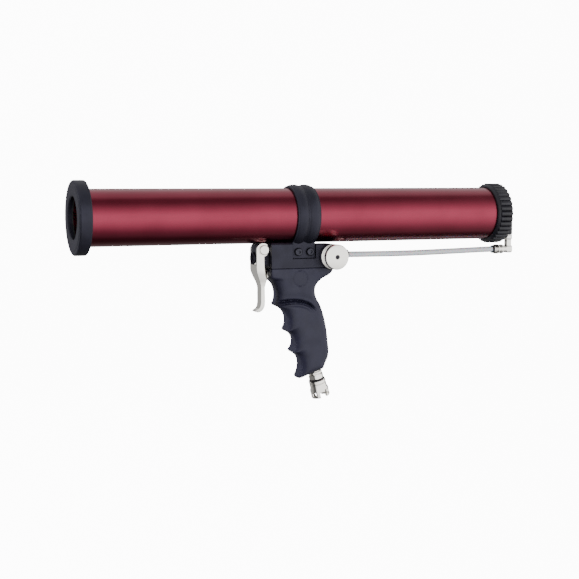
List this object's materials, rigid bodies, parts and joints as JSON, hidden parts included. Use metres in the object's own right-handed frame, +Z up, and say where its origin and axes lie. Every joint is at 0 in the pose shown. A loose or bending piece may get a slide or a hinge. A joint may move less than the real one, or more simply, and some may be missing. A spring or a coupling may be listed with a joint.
{
  "type": "caulking gun",
  "caption": "Air-powered sealant gun: long tube barrel with nozzle ring and screw cap, pistol grip with trigger valve, regulator knob, air tube and claw coupling.",
  "frame": {"origin": "middle of the hand grip, on the gun's centre plane", "axes": "+X along the barrel from the nozzle end to the rear cap, +Z up, the regulator knob on the -Y side"},
  "size_m": [0.4744, 0.07, 0.2204],
  "materials": {
    "red_aluminium": "anodised satin",
    "black_aluminium": "anodised matte",
    "black_plastic": "moulded satin",
    "piston_plastic": "machined",
    "nickel": "polished",
    "dark_steel": "blackened",
    "spring_steel": "drawn",
    "brass": "machined",
    "black_rubber": "matte",
    "air_tube": "extruded"
  },
  "bodies": {
    "gun_frame": {"barrel_tube": "red_aluminium", "clamp_strap": "black_aluminium", "clamp_screw_front": "dark_steel", "clamp_screw_rear": "dark_steel", "clamp_nut_front": "dark_steel", "clamp_nut_rear": "dark_steel", "valve_block": "black_aluminium", "grip_screw_left": "dark_steel", "grip_screw_right": "dark_steel", "grip_screw_rear": "dark_steel", "exhaust_port": "black_aluminium", "silencer_disc": "brass", "grip": "black_plastic", "trigger_pin": "nickel", "pin_clip": "spring_steel", "valve_bushing": "nickel", "valve_spring": "spring_steel", "valve_seat": "brass", "regulator_bonnet": "black_aluminium", "regulator_spring": "spring_steel", "diaphragm": "black_rubber", "poppet_spring": "spring_steel", "outlet_fitting": "nickel", "air_tube": "air_tube", "rear_elbow": "nickel", "air_arm": "black_plastic", "arm_seal": "black_rubber", "arm_bolt": "dark_steel", "inlet_nipple": "nickel", "coupling_gasket": "black_rubber"},
    "nozzle_gasket": {"nozzle_gasket": "black_rubber"},
    "front_ring": {"front_ring": "black_aluminium"},
    "rear_cap": {"rear_cap": "black_plastic", "cap_seal": "black_rubber"},
    "piston": {"piston": "piston_plastic", "piston_seal_front": "black_rubber", "piston_seal_rear": "black_rubber"},
    "trigger": {"trigger": "nickel"},
    "plunger": {"valve_plunger": "nickel"},
    "regulator_knob": {"regulator_knob": "nickel", "adjusting_screw": "dark_steel"},
    "spring_seat": {"spring_seat": "dark_steel"},
    "poppet": {"poppet": "brass"},
    "outlet_collet": {"outlet_collet": "black_rubber"},
    "elbow_collet": {"elbow_collet": "black_rubber"},
    "coupling": {"coupling_body": "nickel", "coupling_washer": "black_rubber"}
  },
  "joints": [
    {"name": "trigger_pivot", "type": "hinge", "parent": "gun_frame", "child": "trigger", "pos_m": [-0.0478, 0, 0.0721], "axis": [0, -1, 0], "range_deg": [0, 6.3], "stiffness_Nm_per_rad": 0.6, "springref_deg": -8.59},
    {"name": "plunger_slide", "type": "slide", "parent": "gun_frame", "child": "plunger", "axis": [1, 0, 0], "range_m": [0, 0.003], "deforming": ["valve_spring"]},
    {"name": "knob_turn", "type": "hinge", "parent": "gun_frame", "child": "regulator_knob", "pos_m": [0.0225, 0, 0.0645], "axis": [0, 1, 0], "range_deg": [0, 1080]},
    {"name": "spring_seat_slide", "type": "slide", "parent": "gun_frame", "child": "spring_seat", "axis": [0, 1, 0], "range_m": [0, 0.00305], "deforming": ["regulator_spring"]},
    {"name": "poppet_slide", "type": "slide", "parent": "gun_frame", "child": "poppet", "axis": [0, 1, 0], "range_m": [0, 0.0008], "stiffness_N_per_m": 20, "springref_m": -0.001, "deforming": ["poppet_spring"]},
    {"name": "piston_slide", "type": "slide", "parent": "gun_frame", "child": "piston", "axis": [-1, 0, 0], "range_m": [0, 0.405]},
    {"name": "ring_advance", "type": "slide", "parent": "gun_frame", "child": "nozzle_gasket", "axis": [-1, 0, 0], "range_m": [0, 0.00805]},
    {"name": "ring_turn", "type": "hinge", "parent": "nozzle_gasket", "child": "front_ring", "pos_m": [-0.232, 0, 0.105], "axis": [-1, 0, 0], "range_deg": [0, 1440]},
    {"name": "cap_turn", "type": "hinge", "parent": "gun_frame", "child": "rear_cap", "pos_m": [0.2243, 0, 0.105], "axis": [1, 0, 0], "range_deg": [0, 1080]},
    {"name": "outlet_collet_press", "type": "slide", "parent": "gun_frame", "child": "outlet_collet", "axis": [-1, 0, 0], "range_m": [0, 0.0008], "stiffness_N_per_m": 20, "springref_m": -0.001},
    {"name": "elbow_collet_press", "type": "slide", "parent": "gun_frame", "child": "elbow_collet", "axis": [1, 0, 0], "range_m": [0, 0.0008], "stiffness_N_per_m": 20, "springref_m": -0.001},
    {"name": "coupling_turn", "type": "hinge", "parent": "gun_frame", "child": "coupling", "pos_m": [0.0112, 0, -0.0518], "axis": [0.2588, 0, -0.9659], "continuous": true}
  ],
  "couplings": [
    {"joint": "plunger_slide", "follows": "trigger_pivot", "m_per_rad": 0.0244},
    {"joint": "spring_seat_slide", "follows": "knob_turn", "m_per_rad": 0.00015915},
    {"joint": "ring_advance", "follows": "ring_turn", "m_per_rad": 0.00031831}
  ]
}
